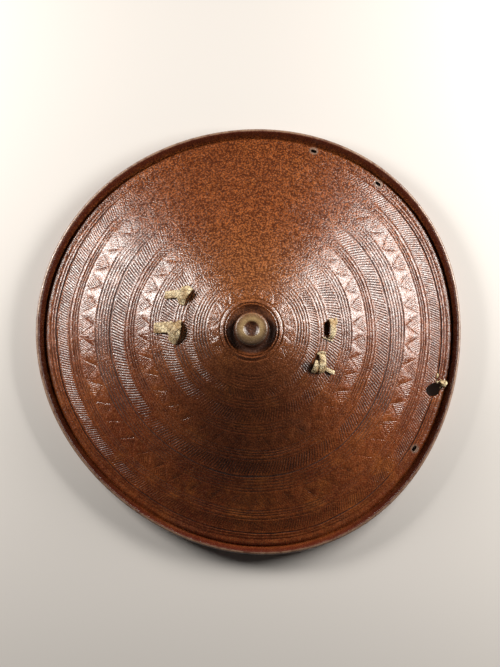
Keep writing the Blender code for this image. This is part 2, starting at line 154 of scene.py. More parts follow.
# Painted shade on the hide, each as (x, y, full within, gone beyond, strength): the first darkens the part
# below the boss, the second is a painted shadow beside the lower right knot.
PAINTED_SHADE_SPOTS = (
    (-0.0100, -0.1140, 0.0500, 0.1500, 0.42),
    (0.0730, -0.0480, 0.0030, 0.0110, 0.92),
)

# Camera and lights
CAMERA_TILT = math.radians(5.4)
CAMERA_TARGET = (0.00231, 0.01080, 0.0)
CAMERA_DISTANCE = 3.2
SENSOR_WIDTH = 36.0
FOCAL_PIXELS = 2343.0
PICTURE_HEIGHT = 667.0
WARM_WHITE = (1.0, 0.95, 0.90)
FLOOR_SIZE = 12.0
AMBIENT_STRENGTH = 0.028

# Each light as its name, place, target, size and power
LIGHTS = (
    ("left", (-1.08, 0.54, 0.60), (-0.20, 0.07, 0.04), (0.60, 0.34), 21.0),
    ("right", (1.05, 0.46, 0.60), (0.16, 0.06, 0.06), (0.92, 0.38), 26.0),
)


# The hide's surface

def warp(angle):
    return sum(size * math.cos(lobes * (angle - math.radians(at))) for lobes, size, at in WARP)


def stretched(radius, angle):
    return radius * (1.0 + warp(angle) * radius / RIM_RADIUS)


def axis_place():
    steps = [TAU * k / SOLID_RIM_SIDES for k in range(SOLID_RIM_SIDES)]
    xs = [stretched(RIM_RADIUS, a) * math.cos(a) for a in steps]
    ys = [stretched(RIM_RADIUS, a) * math.sin(a) for a in steps]
    return -(min(xs) + max(xs)) / 2.0, -(min(ys) + max(ys)) / 2.0


AXIS_X, AXIS_Y = axis_place()


def place(radius, angle, height):
    reach = stretched(radius, angle)
    return Vector((AXIS_X + reach * math.cos(angle), AXIS_Y + reach * math.sin(angle), height))


def nominal_radius(x, y):
    angle, reach = math.atan2(y, x), math.hypot(x, y)
    radius = reach
    for _ in range(12):
        radius = reach / (1.0 + warp(angle) * radius / RIM_RADIUS)
    return radius


def field_height(radius):
    t = min(radius / FIELD_RADIUS, 1.0)
    bell = FIELD_BELL * (1.0 + math.cos(math.pi * t)) / 2.0
    cone = (1.0 - FIELD_BELL) * (1.0 - t)
    return FIELD_EDGE_HEIGHT + FIELD_RISE * (bell + cone + FIELD_SWELL * t * (1.0 - t))


def field_slope(radius):
    t = min(radius / FIELD_RADIUS, 1.0)
    bell = -FIELD_BELL * math.pi * math.sin(math.pi * t) / 2.0
    return FIELD_RISE / FIELD_RADIUS * (bell + FIELD_BELL - 1.0 + FIELD_SWELL * (1.0 - 2.0 * t))


def back_height(radius):
    return field_height(radius) - HIDE_THICKNESS * math.hypot(1.0, field_slope(radius))


def surface_normal(x, y):
    """Nominal radius and outward normal of the field at a place from the boss's axis."""
    radius = nominal_radius(x, y)
    slope = field_slope(radius)
    outward = Vector((x, y, 0.0)).normalized()
    return radius, Vector((-slope * outward.x, -slope * outward.y, 1.0)).normalized()


def surface_frame(x, y):
    """East, north and outward axes on the field at a place from the boss's axis, as a matrix."""
    radius, normal = surface_normal(x, y)
    east = (Vector((1.0, 0.0, 0.0)) - normal * normal.x).normalized()
    north = normal.cross(east)
    origin = Vector((AXIS_X + x, AXIS_Y + y, field_height(radius)))
    return Matrix.Translation(origin) @ Matrix((east, north, normal)).transposed().to_4x4()


def fade(low, high, value):
    """0 on low's side, 1 on high's side and a smooth step between them."""
    t = min(max((value - low) / (high - low), 0.0), 1.0)
    return t * t * (3.0 - 2.0 * t)


def wobble(x, y, size, seed):
    """Smooth noise from -1 to 1 over places about size apart."""
    return noise.noise(Vector((x / size, y / size, seed)))


def wear(radius, angle):
    """Share of the carving that is worn away: most of it over the upper part of the shield."""
    x, y = radius * math.cos(angle), radius * math.sin(angle)
    away = abs((math.degrees(angle) - WORN_TOP + 180.0) % 360.0 - 180.0)
    patchy = 14.0 * wobble(x, y, 0.05, 3.1) + 8.0 * wobble(x, y, 0.018, 7.7)
    top = TOP_WEAR * (1.0 - fade(34.0, 66.0, away + patchy)) * fade(0.035, 0.085, radius)
    low = LOW_WEAR * (1.0 - fade(36.0, 74.0, abs(180.0 - away) + patchy))
    spots = SPOT_WEAR * fade(0.15, 0.6, wobble(x, y, 0.03, 11.0))
    return min(top + low + spots * (1.0 - top), 0.9)


def sway(radius, angle):
    """Gentle unevenness of the moulded hide."""
    x, y = radius * math.cos(angle), radius * math.sin(angle)
    broad = 0.00055 * wobble(x, y, 0.075, 1.3) + 0.00028 * wobble(x, y, 0.026, 5.9)
    fine = 0.00010 * wobble(x, y, 0.009, 8.2)
    return (broad + fine) * fade(0.045, 0.075, radius) * fade(0.274, 0.262, radius)


def drift(radius, angle):
    """The carver's hand: how far a cut strays along the radius and round the shield."""
    x, y = radius * math.cos(angle), radius * math.sin(angle)
    hold = fade(0.043, 0.060, radius) * fade(0.2725, 0.266, radius)
    along = 0.0011 * wobble(x, y, 0.05, 21.0) + 0.0004 * wobble(x, y, 0.014, 23.0)
    across = 0.0009 * wobble(x, y, 0.03, 27.0) + 0.0004 * wobble(x, y, 0.010, 29.0)
    return along * hold, across * hold / max(radius, 0.03)


def turn_from(start, angle):
    """The turn from start to angle, between minus half a turn and half a turn."""
    return (angle - start + math.pi) % TAU - math.pi


def rounded_turn(angle):
    """An angle within one turn, rounded so that the same place is found again."""
    return round(angle % TAU, 5) % round(TAU, 5)


def by_angle(spot):
    return spot[1]


def curve_point(before, start, end, after, t):
    """Place from start to end, at a share t of the way, on a smooth curve through four places."""
    return tuple(
        0.5 * (2.0 * b + (c - a) * t + (2.0 * a - 5.0 * b + 4.0 * c - d) * t * t
               + (3.0 * b - a - 3.0 * c + d) * t ** 3)
        for a, b, c, d in zip(before, start, end, after))


class Shell:
    """Points and triangles of the hide. What is known of each point goes into the mesh's attributes."""

    def __init__(self):
        self.places = []
        self.marks = []
        self.faces = []
        self.known = {}

    def add(self, spot, cut=0.0, mark=0.0):
        self.places.append(spot)
        self.marks.append((cut, mark))
        return len(self.places) - 1

    def front(self, radius, angle, depth=0.0):
        """A point of the carved field, found again by its radius and angle."""
        key = (round(radius, 6), rounded_turn(angle))
        if key not in self.known:
            along, across = drift(radius, angle)
            pressure = 1.0 + 0.35 * wobble(radius * 40.0, angle * 9.0, 1.0, 2.2)
            cut = depth * (1.0 - wear(radius, angle)) * pressure
            real = radius + along
            height = field_height(real) + sway(real, angle) - cut
            self.known[key] = self.add(place(real, angle + across, height), cut * 1000.0)
        return self.known[key]

    def ring(self, radius, sides, depth=0.0):
        return [(TAU * k / sides, self.front(radius, TAU * k / sides, depth)) for k in range(sides)]

    def plain_ring(self, radius, sides, height, mark=0.0, rough=0.0, seed=0.0):
        """A ring at a height of its own, with a little unevenness."""
        points = []
        for k in range(sides):
            angle = TAU * k / sides
            x, y = radius * math.cos(angle), radius * math.sin(angle)
            lift = rough * (wobble(x, y, 0.02, seed) + 0.5 * wobble(x, y, 0.006, seed + 4.0))
            points.append((angle, self.add(place(radius, angle, height + lift), 0.0, mark)))
        return points

    def stitch(self, first, second):
        """Triangles between two closed rings of any counts, in step with their angles."""
        ahead = first[0][0]
        nearest = min(range(len(second)), key=lambda k: abs(turn_from(ahead, second[k][0])))
        second = second[nearest:] + second[:nearest]
        a = [(angle - ahead) % TAU for angle, _ in first] + [TAU]
        offset = turn_from(ahead, second[0][0])
        b = [(angle - second[0][0]) % TAU + offset for angle, _ in second] + [TAU + offset]
        i = j = 0
        while i < len(first) or j < len(second):
            here, there = first[i % len(first)][1], second[j % len(second)][1]
            if j >= len(second) or (i < len(first) and a[i + 1] <= b[j + 1]):
                i += 1
                self.faces.append((here, first[i % len(first)][1], there))
            else:
                j += 1
                self.faces.append((here, second[j % len(second)][1], there))


class Patch:
    """Part of a band: places with a depth, and the edges that its triangles keep to."""

    def __init__(self):
        self.spots = []
        self.edges = []
        self.known = {}

    def spot(self, radius, angle, depth):
        key = (round(radius, 7), round(angle, 7))
        if key not in self.known:
            self.known[key] = len(self.spots)
            self.spots.append((radius, angle, depth))
        return self.known[key]

    def path(self, spots):
        ids = [self.spot(*spot) for spot in spots]
        self.edges += [pair for pair in zip(ids, ids[1:]) if pair[0] != pair[1]]

    def fill(self, shell):
        middle = sum(spot[1] for spot in self.spots) / len(self.spots)
        mean = sum(spot[0] for spot in self.spots) / len(self.spots)
        flat = [Vector(((a - middle) * mean * 1000.0, (r - mean) * 1000.0)) for r, a, _ in self.spots]
        made, _, faces, origins, _, _ = geometry.delaunay_2d_cdt(flat, self.edges, [], 1, 1e-4)
        ids = []
        for spot, origin in zip(made, origins):
            if origin:
                ids.append(shell.front(*self.spots[origin[0]]))
            else:
                ids.append(shell.front(spot.y / 1000.0 + mean, spot.x / 1000.0 / mean + middle, 0.0))
        triangles = [tuple(ids[k] for k in face) for face in faces]
        shell.faces += [triangle for triangle in triangles if len(set(triangle)) == 3]


# Carved bands

def lines_band(shell, ring, outer, inner, cuts, sides):
    """Grooves round the shield. Each is (place as a share of the band, width, depth)."""
    width = outer - inner
    for share, breadth, depth in cuts:
        radius = outer - width * share
        for step, level in ((0.5, 0.0), (0.0, depth), (-0.5, 0.0)):
            cut = shell.ring(radius + breadth * step, sides, level)
            shell.stitch(ring, cut)
            ring = cut
    last = shell.ring(inner, sides)
    shell.stitch(ring, last)
    return last


def wave_band(shell, ring, outer, inner, count, depth, sides, deep_last=False):
    """Even grooves side by side."""
    pitch = (outer - inner) / count
    for n in range(count):
        centre = outer - pitch * (n + 0.5)
        factor = 1.5 if deep_last and n == count - 1 else 1.0
        for radius, level in ((centre, depth * factor), (outer - pitch * (n + 1.0), 0.0)):
            cut = shell.ring(radius, sides, level)
            shell.stitch(ring, cut)
            ring = cut
    return ring


def close_band(shell, ring, tops, lows, inner, sides):
    """Joins a band's patches to the ring outside them and to a new ring inside them."""
    shell.stitch(ring, sorted((turn, point) for point, turn in tops.items()))
    last = shell.ring(inner, sides)
    shell.stitch(sorted((turn, point) for point, turn in lows.items()), last)
    return last


def hatch_band(shell, ring, outer, inner, pitch, slant, joints, sides, depth):
    """Slanted lines that change their lean at each joint, given in degrees.

    Every second line is a cut, and the lines between them are crests. Lines that meet a joint's own
    line end or begin on it.
    """
    top, low = outer - BAND_MARGIN, inner + BAND_MARGIN
    middle = (top + low) / 2.0
    count = 2 * round(TAU * middle / pitch)
    half = TAU / count
    shift = math.tan(math.radians(slant)) * (top - low) / middle
    reach = int(2.0 * shift / half) + 2
    runs = len(joints)
    ends = [int(count * joint / 360.0) | 1 for joint in joints]
    firsts = []
    for k, end in enumerate(ends):
        after = ends[k + 1] if k + 1 < runs else ends[0] + count
        firsts.append(end + reach + (after - end - reach) // 2)

    def line(index, lean, start=0.0, end=1.0):
        levels = [start] + [t for t in HATCH_LEVELS if start + 0.05 < t < end - 0.05] + [end]
        spots = []
        for t in levels:
            share = END_DEPTH if t in (start, end) else 1.0
            cut = depth * share if index % 2 == 0 else 0.0
            spots.append((top + (low - top) * t, index * half + lean * shift * t, cut))
        return spots

    tops, lows = {}, {}
    for k in range(runs):
        junction = ends[k]
        first, last = firsts[k - 1] - (count if k == 0 else 0), firsts[k]
        lean = 1.0 if k % 2 == 0 else -1.0
        lines = [line(index, lean) for index in range(first, junction + 1)]
        for index in range(junction + 1, last + 1):
            hit = (index - junction) * half / (2.0 * shift)
            if lean < 0.0 or hit > 1.07:
                lines.append(line(index, -lean))
            elif hit < 0.93:
                lines.append(line(index, -lean, end=hit))
        if lean < 0.0:
            for step in range(1, reach):
                hit = step * half / (2.0 * shift)
                if 0.05 < hit < 0.93:
                    lines.append(line(junction - step, 1.0, start=hit))
        patch = Patch()
        for spots in lines:
            patch.path(spots)
        upper = sorted((spots[0] for spots in lines if spots[0][0] == top), key=by_angle)
        lower = sorted((spots[-1] for spots in lines if abs(spots[-1][0] - low) < 1e-9), key=by_angle)
        patch.path(upper)
        patch.path(lower)
        patch.fill(shell)
        for store, spots in ((tops, upper), (lows, lower)):
            for spot in spots:
                store[shell.front(*spot)] = rounded_turn(spot[1])
    return close_band(shell, ring, tops, lows, inner, sides)


def triangle_band(shell, ring, outer, inner, count, pitch, sides, seed, force):
    """Triangles with their bases outwards, cut round two sides and hatched along one of them."""
    rng = random.Random(seed)
    top, low = outer - BAND_MARGIN, inner + BAND_MARGIN
    height = top - low
    middle = (top + low) / 2.0
    cell = TAU / count
    wide = cell * middle
    base, tall = 0.455 * wide, 0.92 * height
    spread = 0.00055 * math.hypot(base, tall) / tall
    edge_drop = (wide / 2.0 - base - spread) * tall / base
    first = max(0.04 * height, edge_drop + 0.01 * height)
    tops, lows = {}, {}
    for n in range(count):
        centre = cell * (n + 0.5)
        patch = Patch()

        def at(x, y, depth=0.0):
            return top - y, centre + x / middle, depth

        def along(start, end, shares, depths=None):
            return [at(start[0] + (end[0] - start[0]) * t, start[1] + (end[1] - start[1]) * t, depth)
                    for t, depth in zip(shares, depths or [0.0] * len(shares))]

        edge_y = first - edge_drop
        last_y = first + tall
        levels = sorted({0.0, edge_y, height * 0.35, height * 0.7, height})
        for hand in (-1.0, 1.0):
            patch.path([at(hand * wide / 2.0, y) for y in levels])
            outline = along((hand * base, first), (0.0, last_y), (0.0, 0.12, 0.5, 0.88, 1.0),
                            [OUTLINE_DEPTH * force * share for share in (0.6, 1.0, 1.0, 1.0, 0.7)])
            patch.path(outline)
            edge_end = base + spread - (last_y - first) * base / tall
            patch.path(along((hand * wide / 2.0, edge_y), (hand * edge_end, last_y), (0.0, 0.5, 1.0)))
        for y in (0.0, height):
            patch.path([at(wide * share, y) for share in (-0.5, -0.25, 0.0, 0.25, 0.5)])
        lean = rng.choice((-1.0, 1.0))
        inner_base = base - spread
        inner_tall = inner_base * tall / base
        near, far = (-lean * inner_base, first), (lean * inner_base, first)
        tip = (0.0, first + inner_tall)
        steps = max(4, 2 * round(2.0 * inner_base * tall / math.hypot(base, tall) / pitch))
        starts, finishes = [at(*near)], [at(*tip)]
        for k in range(1, steps):
            share = k / steps
            cut = HATCH_DEPTH * force if k % 2 else 0.0
            start = (near[0] + (far[0] - near[0]) * share, near[1])
            finish = (tip[0] + (far[0] - tip[0]) * share, tip[1] + (far[1] - tip[1]) * share)
            shares = (0.0, 0.15, 0.5, 0.85, 1.0) if share < 0.7 else (0.0, 0.5, 1.0)
            depths = [cut * (END_DEPTH if t in (0.0, 1.0) else 1.0) for t in shares]
            patch.path(along(start, finish, shares, depths))
            starts.append(at(*start, depths[0]))
            finishes.append(at(*finish, depths[-1]))
        patch.path(starts + [at(*far)])
        patch.path(finishes + [at(*far)])
        patch.path(along(near, tip, (0.0, 0.33, 0.67, 1.0)))
        patch.fill(shell)
        for share in (-0.5, -0.25, 0.0, 0.25):
            for y, store in ((0.0, tops), (height, lows)):
                spot = at(wide * share, y)
                store[shell.front(*spot)] = rounded_turn(spot[1])
    return close_band(shell, ring, tops, lows, inner, sides)


# The hide

def lip_profile(steps, crest_steps):
    """Radius, height and mark of the rings from the flat underside round the lip to the valley."""
    half = HIDE_THICKNESS / 2.0
    run = RIM_RADIUS - LIP_TRIM - half - VALLEY_RADIUS
    base = VALLEY_FLOOR - half
    rise = LIP_HEIGHT - half - base
    outer, inner = [], []
    for n in range(1, steps):
        s = n / (steps - 1)
        slope = math.atan2(rise * LIP_BOW * s ** (LIP_BOW - 1.0), run)
        radius, level = VALLEY_RADIUS + run * s, base + rise * s ** LIP_BOW
        aside, up = half * math.sin(slope), half * math.cos(slope)
        if radius + aside > REST_INNER_RADIUS + REST_WIDTH:
            outer.append((radius + aside, max(level - up, 0.0003), 0.25))
        inner.append((radius - aside, level + up, 0.55 * s))
    crest = []
    for n in range(1, crest_steps):
        turn = slope - math.pi / 2.0 + math.pi * n / crest_steps
        top = 0.6 + 0.4 * math.sin(math.pi * n / crest_steps) ** 3
        crest.append((radius + half * math.cos(turn), level + half * math.sin(turn), top))
    return outer + crest + inner[::-1]


def rounded(profile, times):
    """The profile with its corners cut, again and again."""
    for _ in range(times):
        cut = [profile[0]]
        for a, b in zip(profile, profile[1:]):
            cut.append(tuple(0.75 * p + 0.25 * q for p, q in zip(a, b)))
            cut.append(tuple(0.25 * p + 0.75 * q for p, q in zip(a, b)))
        profile = cut + [profile[-1]]
    return profile


def boss_profile():
    """Radius, height and mark of the boss's rings, from the groove round it to the dimple."""
    base = field_height(BOSS_RADIUS)
    levels = (-BOSS_GROOVE, GROOVE_BANK, RIDGE_HEIGHT + 0.0005, RIDGE_DIP - 0.0006, RIDGE_HEIGHT + 0.0005)
    rings = [(radius, base + level, 0.0) for radius, level in zip(RIDGE_RADII, levels)]
    top = base + KNOB_HEIGHT - 0.0003
    rings += [
        (MOAT_OUTER_RADIUS, base - MOAT_DEPTH * 0.7, 0.0),
        (MOAT_INNER_RADIUS, base - MOAT_DEPTH, 0.0),
        (KNOB_RADIUS, base - MOAT_DEPTH * 0.6, 0.0),
        (KNOB_RADIUS, top - KNOB_SHOULDER, 0.2),
        (KNOB_RADIUS - KNOB_SHOULDER * 0.35, top, 0.7),
        (KNOB_RADIUS - KNOB_SHOULDER * 1.3, top - 0.0001, 1.0),
        (DIMPLE_RADIUS * 1.12, top - 0.0002, 1.0),
        (DIMPLE_RADIUS * 0.92, top - 0.0016, 0.4),
        (DIMPLE_RADIUS * 0.70, top - DIMPLE_DEPTH * 0.86, 0.1),
        (DIMPLE_RADIUS * 0.15, top - DIMPLE_DEPTH, 0.0),
    ]
    return rounded(rings, 2), top - DIMPLE_DEPTH


def back_profile():
    """Radius and height of the hollow side, from inside the flat ring to the hollow under the knob."""
    first = REST_INNER_RADIUS - back_height(REST_INNER_RADIUS - HIDE_THICKNESS) * 0.7
    radii = [first + (BOSS_RADIUS - first) * n / 22 for n in range(23)]
    rings = [(radius, back_height(radius)) for radius in radii]
    under_moat = field_height(BOSS_RADIUS) - MOAT_DEPTH - HIDE_THICKNESS
    hollow = KNOB_RADIUS - KNOB_WALL
    top = field_height(BOSS_RADIUS) + KNOB_HEIGHT - DIMPLE_DEPTH - HIDE_THICKNESS
    tail = [rings[-1], (MOAT_OUTER_RADIUS + HIDE_THICKNESS / 2.0, under_moat), (hollow + 0.004, under_moat)]
    tail += [(hollow, under_moat + (top - under_moat) * 0.7), (hollow * 0.5, top), (hollow * 0.1, top)]
    return rings[:-1] + rounded(tail, 2), top


def close_centre(shell, ring, height):
    tip = shell.add(Vector((AXIS_X, AXIS_Y, height)))
    for k in range(len(ring)):
        shell.faces.append((ring[k][1], ring[(k + 1) % len(ring)][1], tip))


def border_ridge(shell, ring):
    """The ridge between the valley and the field, notched across its crest."""
    sides = 2 * round(TAU * BORDER_CREST_RADIUS / NOTCH_PITCH)
    shapes = ((VALLEY_RADIUS, VALLEY_FLOOR, 0.0), (BORDER_CREST_RADIUS + 0.0021, 0.0112, 0.2),
              (BORDER_CREST_RADIUS + 0.0004, FIELD_EDGE_HEIGHT + BORDER_CREST_RISE, 1.0))
    for radius, height, notch in shapes:
        points = []
        for k in range(sides):
            angle = TAU * (k + 0.5 * notch) / sides
            deep = notch * NOTCH_DEPTH * (k % 2) * (1.0 - 0.75 * wear(radius, angle))
            point = shell.add(place(radius, angle, height - deep), deep * 1000.0, 0.12 * notch)
            points.append((angle, point))
        shell.stitch(ring, points)
        ring = points
    return ring


def single_grooves(*shares):
    return [(share, GROOVE_WIDTH, GROOVE_DEPTH) for share in shares]


# The bands from the border inwards. After each one's function come its values, in the function's order.
BANDS = (
    (lines_band,
     ((0.27, GROOVE_WIDTH, GROOVE_DEPTH), (0.58, 0.0024, GROOVE_DEPTH), (0.89, 0.0026, 2.0 * GROOVE_DEPTH)),
     RIM_SIDES),
    (hatch_band, 0.0033, 26.0, (68.0, 114.0), 360, HATCH_DEPTH),
    (lines_band, single_grooves(0.10, 0.46, 0.66, 0.88), 360),
    (triangle_band, 48, 0.0027, 360, 43, 0.6),
    (wave_band, 6, 1.1 * GROOVE_DEPTH, 320, True),
    (hatch_band, 0.0038, 27.0, (76.0, 106.0), 300, 1.15 * HATCH_DEPTH),
    (lines_band, single_grooves(0.09, 0.42, 0.64, 0.86), 288),
    (triangle_band, 36, 0.0027, 288, 53, 0.6),
    (wave_band, 4, GROOVE_DEPTH, 240),
    (hatch_band, 0.0036, 23.0, (62.0, 118.0), 240, HATCH_DEPTH),
    (wave_band, 3, GROOVE_DEPTH, 216),
    (hatch_band, 0.0034, 23.0, (70.0, 110.0, 245.0, 300.0), 216, HATCH_DEPTH),
    (wave_band, 5, GROOVE_DEPTH, 200),
    (triangle_band, 18, 0.0024, 144, 67, 0.4),
)


def carve_field(shell, ring):
    """All bands, from the border ridge to the boss's groove."""
    edges = [FIELD_RADIUS]
    for width in BAND_WIDTHS:
        edges.append(edges[-1] - width)
    edges[-1] += BOSS_MARGIN
    field = shell.ring(FIELD_RADIUS, RIM_SIDES)
    shell.stitch(ring, field)
    ring = field
    for (band, *values), outer, inner in zip(BANDS, edges, edges[1:]):
        ring = band(shell, ring, outer, inner, *values)
    return ring


def follow(shell, ring, profile, sides, seed):
    """A ring at each radius, height, mark and roughness of a profile, stitched one after another."""
    for radius, height, mark, rough in profile:
        after = shell.plain_ring(radius, sides, height, mark, rough, seed)
        shell.stitch(ring, after)
        ring = after
    return ring


def build_hide():
    shell = Shell()
    under = shell.plain_ring(REST_INNER_RADIUS, UNDER_SIDES, 0.0)
    ring = shell.plain_ring(REST_INNER_RADIUS + REST_WIDTH, UNDER_SIDES, 0.0)
    shell.stitch(under, ring)
    lip = [(radius, height, mark, CREST_ROUGHNESS if mark > 0.58 else LIP_ROUGHNESS)
           for radius, height, mark in lip_profile(8, 8)]
    ring = follow(shell, ring, lip, RIM_SIDES, 31.0)
    ring = carve_field(shell, border_ridge(shell, ring))
    profile, floor = boss_profile()
    boss = [(radius, height, -mark, BOSS_ROUGHNESS) for radius, height, mark in profile]
    close_centre(shell, follow(shell, ring, boss, BOSS_SIDES, 71.0), floor)
    levels, hollow_top = back_profile()
    back = [(radius, height, 0.0, BACK_ROUGHNESS) for radius, height in levels]
    close_centre(shell, follow(shell, under, back, BOSS_SIDES, 83.0), hollow_top)
    return shell


def add_object(name, data):
    obj = bpy.data.objects.new(name, data)
    bpy.context.scene.collection.objects.link(obj)
    return obj


def mesh_object(name, places, faces, turn_out=True):
    mesh = bpy.data.meshes.new(name)
    mesh.from_pydata(places, [], faces)
    if turn_out:
        bm = bmesh.new()
        bm.from_mesh(mesh)
        bmesh.ops.recalc_face_normals(bm, faces=bm.faces)
        bm.to_mesh(mesh)
        bm.free()
    return add_object(name, mesh)


def finish_piece(obj, mat, node):
    obj.data.materials.clear()
    obj.data.materials.append(mat)
    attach(obj, "root")
    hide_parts(node)


# Slots and holes

def stadium(length, width):
    radius = width / 2.0
    reach = length / 2.0 - radius
    points = []
    for side in (1.0, -1.0):
        for n in range(SLOT_END_STEPS + 1):
            turn = -math.pi / 2.0 + math.pi * n / SLOT_END_STEPS
            points.append((side * (reach + radius * math.cos(turn)), side * radius * math.sin(turn)))
    return points


def prism(outline, low, high, at):
    """Places and faces of a flat outline drawn out along the third axis of a matrix."""
    count = len(outline)
    places = [at @ Vector((x, y, level)) for level in (low, high) for x, y in outline]
    faces = [tuple(range(count))[::-1], tuple(range(count, 2 * count))]
    faces += [(k, (k + 1) % count, count + (k + 1) % count, count + k) for k in range(count)]
    return places, faces


def turned(at, degrees, east=0.0):
    return at @ Matrix.Translation((east, 0.0, 0.0)) @ Matrix.Rotation(math.radians(degrees), 4, "Z")


def torn_edge():
    """The torn hole's outline, finer and frayed."""
    points = []
    count = len(TORN_OUTLINE)
    for k in range(count):
        corners = [TORN_OUTLINE[(k + n) % count] for n in (-1, 0, 1, 2)]
        for n in range(4):
            x, y = curve_point(*corners, n / 4)
            fray = 1.0 + 0.06 * wobble(x, y, 0.0022, 91.0)
            points.append((x * fray, y * fray))
    return points


def rim_hole_spots():
    """Places of the rim holes on the outer surface."""
    return [place(FIELD_RADIUS - inset, math.radians(at), FIELD_EDGE_HEIGHT) for inset, at in RIM_HOLES]


def hide_cutters():
    """Places and faces of the cutter for each slot and hole."""
    cutters = []
    slot = stadium(SHANK_WIDTH + 2.0 * HOLE_CLEARANCE, SHANK_THICKNESS + 2.0 * HOLE_CLEARANCE)
    for x, y, degrees in THONG_SPOTS.values():
        cutters.append(prism(slot, -0.016, 0.006, turned(surface_frame(x, y), degrees)))
    x, y, degrees = THONG_SPOTS["thong_upper_right"]
    beside = -(SHANK_THICKNESS + OPEN_SLOT_WIDTH) / 2.0 - SLOT_TEAR
    at = turned(surface_frame(x, y), degrees, east=beside)
    open_slot = stadium(OPEN_SLOT_LENGTH, OPEN_SLOT_WIDTH)
    cutters.append(prism(open_slot, -2.0 * HIDE_THICKNESS, HIDE_THICKNESS, at))
    for inset, degrees in RIM_HOLES:
        angle = math.radians(degrees)
        middle = Matrix.Translation(place(FIELD_RADIUS - inset, angle, 0.0))
        at = middle @ Matrix.Rotation(angle + math.pi / 2.0, 4, "Z")
        cutters.append(prism(stadium(RIM_HOLE_LENGTH, RIM_HOLE_WIDTH), -HIDE_THICKNESS, 0.0185, at))
    inset, degrees = TORN_HOLE
    at = Matrix.Translation(place(FIELD_RADIUS - inset, math.radians(degrees), 0.0))
    cutters.append(prism(torn_edge(), -HIDE_THICKNESS, 0.035, at))
    return cutters


def cut_hide(hide):
    """Each cut is made on its own and kept before the next one."""
    for n, (places, faces) in enumerate(hide_cutters()):
        cutter = mesh_object(f"cutter_{n + 1}", places, faces, turn_out=False)
        mod = hide.modifiers.new("cut", "BOOLEAN")
        mod.operation = "DIFFERENCE"
        mod.solver = "MANIFOLD"
        mod.object = cutter
        depsgraph = bpy.context.evaluated_depsgraph_get()
        mesh = bpy.data.meshes.new_from_object(hide.evaluated_get(depsgraph))
        hide.modifiers.clear()
        hide.data = mesh
        bpy.data.objects.remove(cutter, do_unlink=True)


def shade_cuts(mesh):
    """Soft crests between the cuts and a hard line at each cut's bottom."""
    work = bmesh.new()
    work.from_mesh(mesh)
    layer = work.verts.layers.float["cut"]
    for edge in work.edges:
        if min(vert[layer] for vert in edge.verts) > CUT_START:
            edge.smooth = False
        elif min(max(vert[layer] for vert in face.verts) for face in edge.link_faces) > CUT_START:
            edge.smooth = True
    work.to_mesh(mesh)
    work.free()


def make_hide(mat):
    shell = build_hide()
    hide = mesh_object("carved_hide", shell.places, shell.faces)
    for name, column in (("cut", 0), ("mark", 1)):
        store = hide.data.attributes.new(name, "FLOAT", "POINT")
        store.data.foreach_set("value", [marks[column] for marks in shell.marks])
    cut_hide(hide)
    hide.data.shade_smooth()
    hide.data.set_sharp_from_angle(angle=SHARP_EDGE)
    shade_cuts(hide.data)
    finish_piece(hide, mat, "hide_body")
    print("hide triangles", sum(len(p.vertices) - 2 for p in hide.data.polygons))


# Knotted rawhide

def over(x, y, up):
    """A place over the hide, given from the boss's axis and by its height along the surface's normal."""
    radius, normal = surface_normal(x, y)
    height = field_height(radius) + sway(radius, math.atan2(y, x))
    return Vector((AXIS_X + x, AXIS_Y + y, height)) + normal * up, normal


def smooth_stops(stops):
    """More stops on a smooth curve through the given ones."""
    last = len(stops) - 1
    result = []
    for k in range(last):
        corners = stops[max(k - 1, 0)], stops[k], stops[k + 1], stops[min(k + 2, last)]
        result += [curve_point(*corners, n / STRIP_STEPS) for n in range(STRIP_STEPS)]
    return result + [stops[-1]]


def ring_faces(rings, around):
    """Faces between neighbouring rings of points, and one across each end."""
    faces = [tuple(range(around))[::-1], tuple(range((rings - 1) * around, rings * around))]
    for low in range(0, (rings - 1) * around, around):
        for n in range(around):
            m = (n + 1) % around
            faces.append((low + n, low + m, low + around + m, low + around + n))
    return faces


def strip(spot, stops, thick, seed):
    """A strip of rawhide. Each stop is (east, north, up, width, twist in degrees), in millimetres."""
    path = smooth_stops(stops)
    centres = [over(spot[0] + p[0] / 1000.0, spot[1] + p[1] / 1000.0, p[2] / 1000.0) for p in path]
    last = len(centres) - 1
    places = []
    for k, (centre, normal) in enumerate(centres):
        before, after = centres[max(k - 1, 0)][0], centres[min(k + 1, last)][0]
        tangent = (after - before).normalized()
        across = tangent.cross(normal).normalized()
        across = Matrix.Rotation(math.radians(path[k][4]), 3, tangent) @ across
        lift = across.cross(tangent).normalized()
        end = 0.82 if k in (0, last) else 1.0
        half, depth = path[k][3] / 2000.0 * end, thick / 2000.0 * end
        for n in range(STRIP_SIDES):
            turn = TAU * n / STRIP_SIDES
            c, s = math.cos(turn), math.sin(turn)
            x = half * math.copysign(abs(c) ** 0.55, c)
            y = depth * math.copysign(abs(s) ** 0.7, s)
            cup = 0.18 * depth * (1.0 - (x / half) ** 2)
            spot_at = centre + across * x + lift * (y + cup)
            rough = 0.00028 * noise.noise(spot_at * 240.0 + Vector((seed, 0.0, 0.0)))
            places.append(spot_at + lift * rough + across * rough * 0.8)
    return places, ring_faces(len(centres), STRIP_SIDES)


def stop_knot(at, behind, seed):
    """The knot behind the hide, from rings of (radius, height)."""
    places = []
    for radius, low in STOP_KNOT:
        for n in range(STOP_KNOT_SIDES):
            turn = TAU * n / STOP_KNOT_SIDES
            c, s = math.cos(turn), math.sin(turn)
            rough = 1.0 + 0.12 * noise.noise(Vector((c * 2.0, s * 2.0, low * 400.0 + seed)))
            places.append(at @ Vector((radius * rough * c, 0.85 * radius * rough * s, low - behind)))
    return places, ring_faces(len(STOP_KNOT), STOP_KNOT_SIDES)


